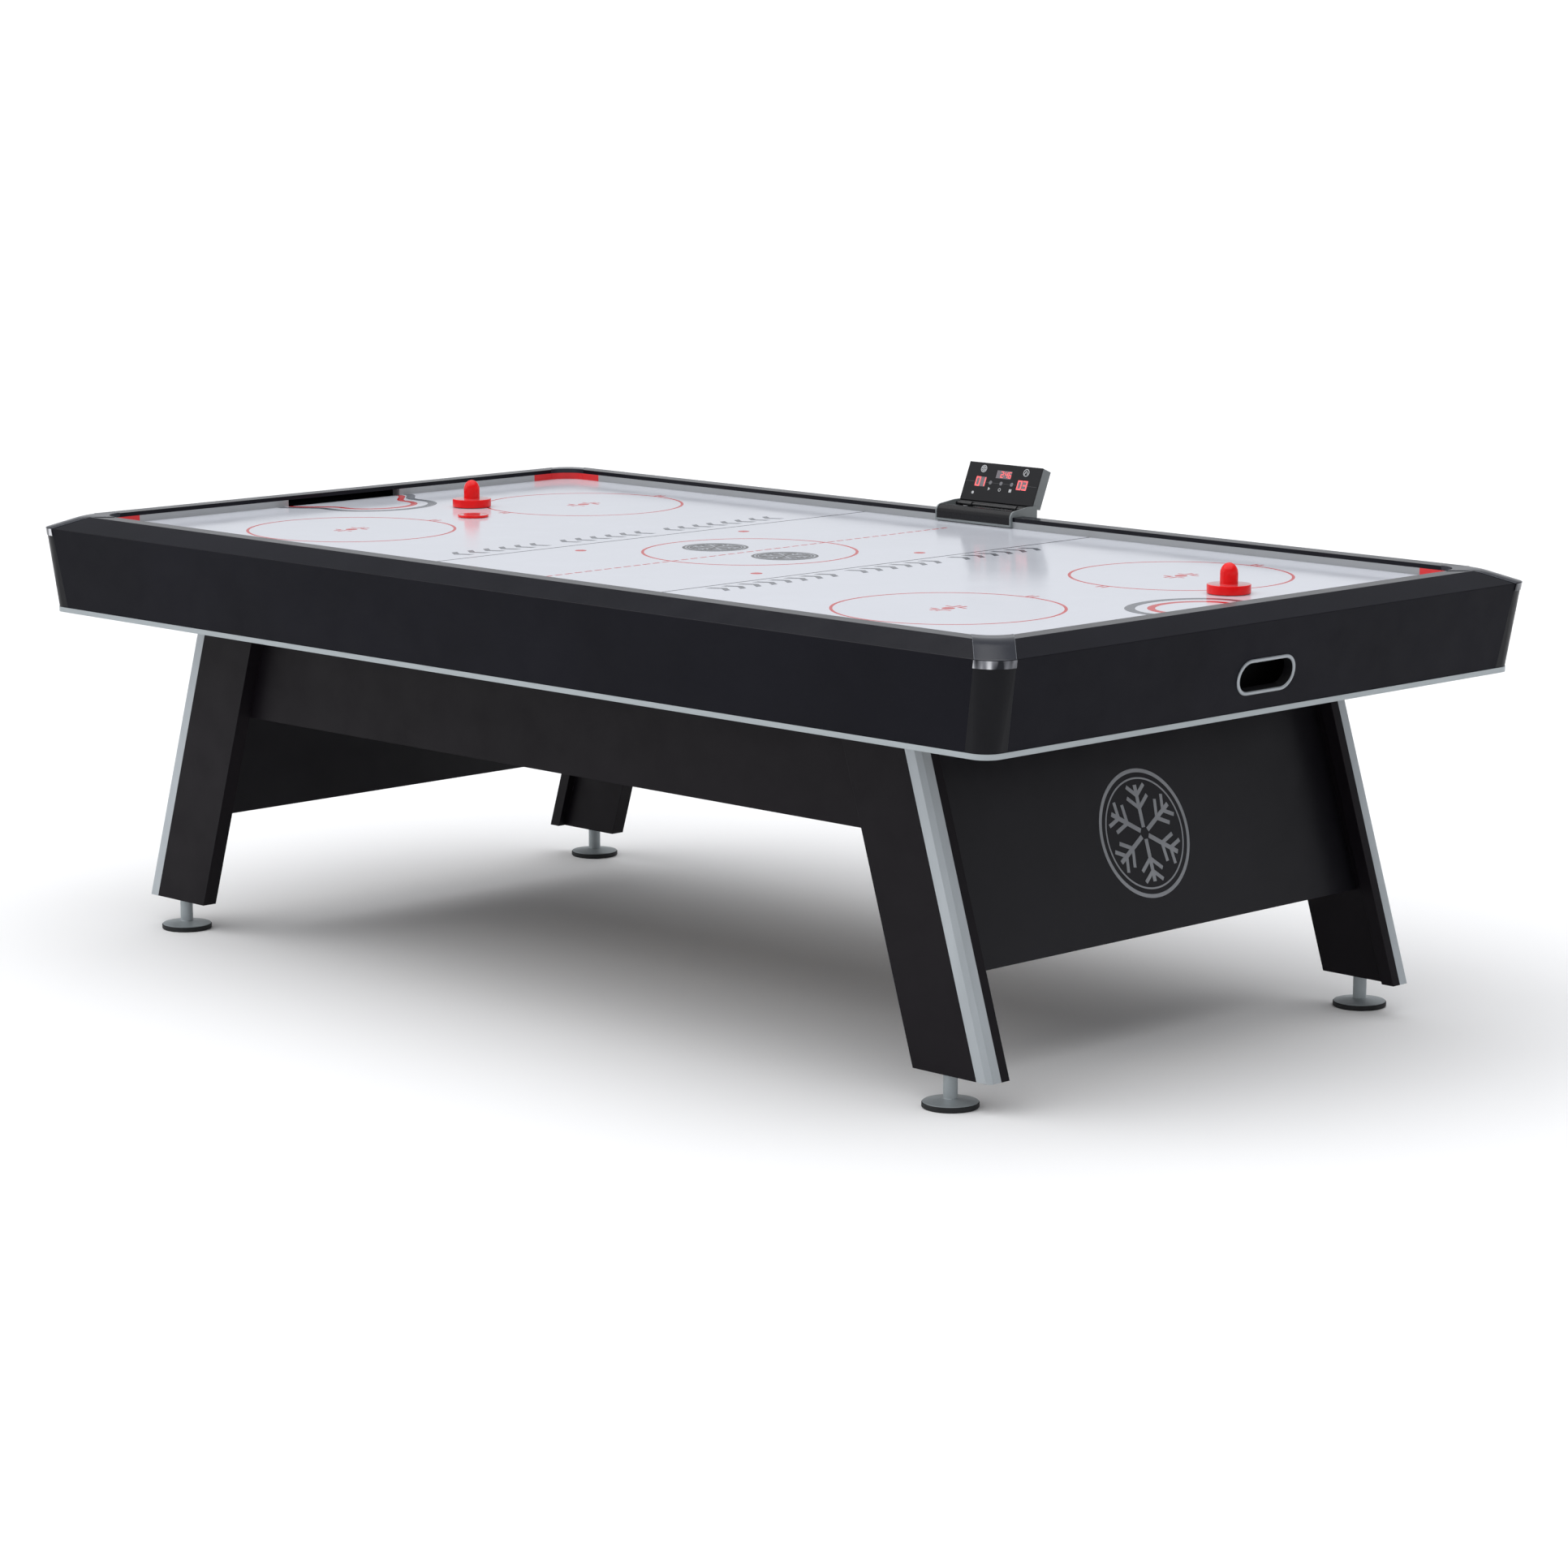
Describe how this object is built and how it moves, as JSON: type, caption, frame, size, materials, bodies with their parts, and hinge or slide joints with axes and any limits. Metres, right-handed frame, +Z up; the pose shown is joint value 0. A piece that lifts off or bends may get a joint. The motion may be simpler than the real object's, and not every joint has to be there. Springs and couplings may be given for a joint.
{
  "type": "air hockey table",
  "caption": "Full-size air hockey table with leaning legs, blower, goals with puck returns, rail-mounted tilting scorer, two pushers and a puck.",
  "frame": {"origin": "on the floor, under the middle of the table's bounding box, which is 11.8 mm behind the play field's centre line because the scorer overhangs the back rail", "axes": "+X along the table's length towards the right-hand goal, +Y across the table towards the side with the scorer, +Z up"},
  "size_m": [2.443, 1.3746, 0.8616],
  "materials": {
    "playfield": "gloss",
    "black_laminate": "satin",
    "corner_black": "satin",
    "gunmetal": "satin",
    "bright_band": "polished",
    "liner_grey": "satin",
    "bumper_red": "satin",
    "silver_trim": "satin",
    "bare_board": "matte",
    "goal_black": "matte",
    "dark_plastic": "matte",
    "motor_steel": "satin",
    "foot_steel": "satin",
    "foot_rubber": "matte",
    "scorer_black": "satin",
    "scorer_grey": "satin",
    "display_leds": "gloss",
    "button_grey": "matte",
    "pusher_red": "gloss",
    "felt": "matte",
    "puck_red": "satin"
  },
  "bodies": {
    "table": {"blower_grille": "dark_plastic", "blower_housing": "dark_plastic", "blower_motor": "motor_steel", "corner_bands": "bright_band", "corner_bumpers": "bumper_red", "corner_caps": "gunmetal", "corner_posts": "corner_black", "cross_beams": "bare_board", "end_apron_left": "black_laminate", "end_apron_right": "black_laminate", "end_liners": "liner_grey", "end_panels": "black_laminate", "end_rail_left": "black_laminate", "end_rail_right": "black_laminate", "end_trims": "silver_trim", "goal_box_left": "goal_black", "goal_box_right": "goal_black", "goal_sensors": "dark_plastic", "leg_back_left": "black_laminate", "leg_back_right": "black_laminate", "leg_bolts": "motor_steel", "leg_front_left": "black_laminate", "leg_front_right": "black_laminate", "leg_trims": "silver_trim", "playfield": "playfield", "plenum_floor": "bare_board", "plenum_frame": "bare_board", "power_inlet": "dark_plastic", "return_bezels": "silver_trim", "scorer_base": "scorer_black", "scorer_bracket": "scorer_grey", "scorer_pin": "motor_steel", "side_apron_back": "black_laminate", "side_apron_front": "black_laminate", "side_liners": "liner_grey", "side_panels": "black_laminate", "side_rail_back": "black_laminate", "side_rail_front": "black_laminate", "side_trims": "silver_trim"},
    "leveller_back_right": {"foot_back_right": "foot_steel", "foot_pad_back_right": "foot_rubber"},
    "leveller_front_right": {"foot_front_right": "foot_steel", "foot_pad_front_right": "foot_rubber"},
    "leveller_back_left": {"foot_back_left": "foot_steel", "foot_pad_back_left": "foot_rubber"},
    "leveller_front_left": {"foot_front_left": "foot_steel", "foot_pad_front_left": "foot_rubber"},
    "impeller": {"blower_impeller": "dark_plastic"},
    "rocker": {"power_rocker": "dark_plastic"},
    "display": {"display_housing": "scorer_black", "display_face": "scorer_black", "display_board": "display_leds"},
    "button_start": {"button_start": "button_grey"},
    "button_mode": {"button_mode": "button_grey"},
    "button_stop": {"button_stop": "button_grey"},
    "pusher_left": {"pusher_left": "pusher_red", "pusher_felt_left": "felt"},
    "pusher_right": {"pusher_right": "pusher_red", "pusher_felt_right": "felt"},
    "puck": {"puck": "puck_red"}
  },
  "joints": [
    {"name": "level_back_right", "type": "slide", "parent": "table", "child": "leveller_back_right", "axis": [0, 0, 1], "range_m": [-0.02, 0.02]},
    {"name": "level_front_right", "type": "slide", "parent": "table", "child": "leveller_front_right", "axis": [0, 0, 1], "range_m": [-0.02, 0.02]},
    {"name": "level_back_left", "type": "slide", "parent": "table", "child": "leveller_back_left", "axis": [0, 0, 1], "range_m": [-0.02, 0.02]},
    {"name": "level_front_left", "type": "slide", "parent": "table", "child": "leveller_front_left", "axis": [0, 0, 1], "range_m": [-0.02, 0.02]},
    {"name": "impeller_spin", "type": "hinge", "parent": "table", "child": "impeller", "pos_m": [0, -0.01184, 0.67], "axis": [0, 0, 1], "continuous": true},
    {"name": "power_rock", "type": "hinge", "parent": "table", "child": "rocker", "pos_m": [0.352, 0.50816, 0.661], "axis": [1, 0, 0], "range_deg": [0, 20]},
    {"name": "display_tilt", "type": "hinge", "parent": "table", "child": "display", "pos_m": [0, 0.62816, 0.7855], "axis": [1, 0, 0], "range_deg": [-12, 20]},
    {"name": "press_start", "type": "slide", "parent": "display", "child": "button_start", "axis": [0, 0.9219, -0.3875], "range_m": [0, 0.0008], "stiffness_N_per_m": 800},
    {"name": "press_mode", "type": "slide", "parent": "display", "child": "button_mode", "axis": [0, 0.9219, -0.3875], "range_m": [0, 0.0008], "stiffness_N_per_m": 800},
    {"name": "press_stop", "type": "slide", "parent": "display", "child": "button_stop", "axis": [0, 0.9219, -0.3875], "range_m": [0, 0.0008], "stiffness_N_per_m": 800},
    {"name": "pusher_left_slide", "type": "slide", "parent": "table", "child": "pusher_left", "axis": [1, 0, 0], "range_m": [-0.19, 0.83]},
    {"name": "pusher_right_slide", "type": "slide", "parent": "table", "child": "pusher_right", "axis": [1, 0, 0], "range_m": [-0.91, 0.11]},
    {"name": "puck_slide", "type": "slide", "parent": "table", "child": "puck", "axis": [1, 0, 0], "range_m": [-0.33, 1.83]}
  ]
}
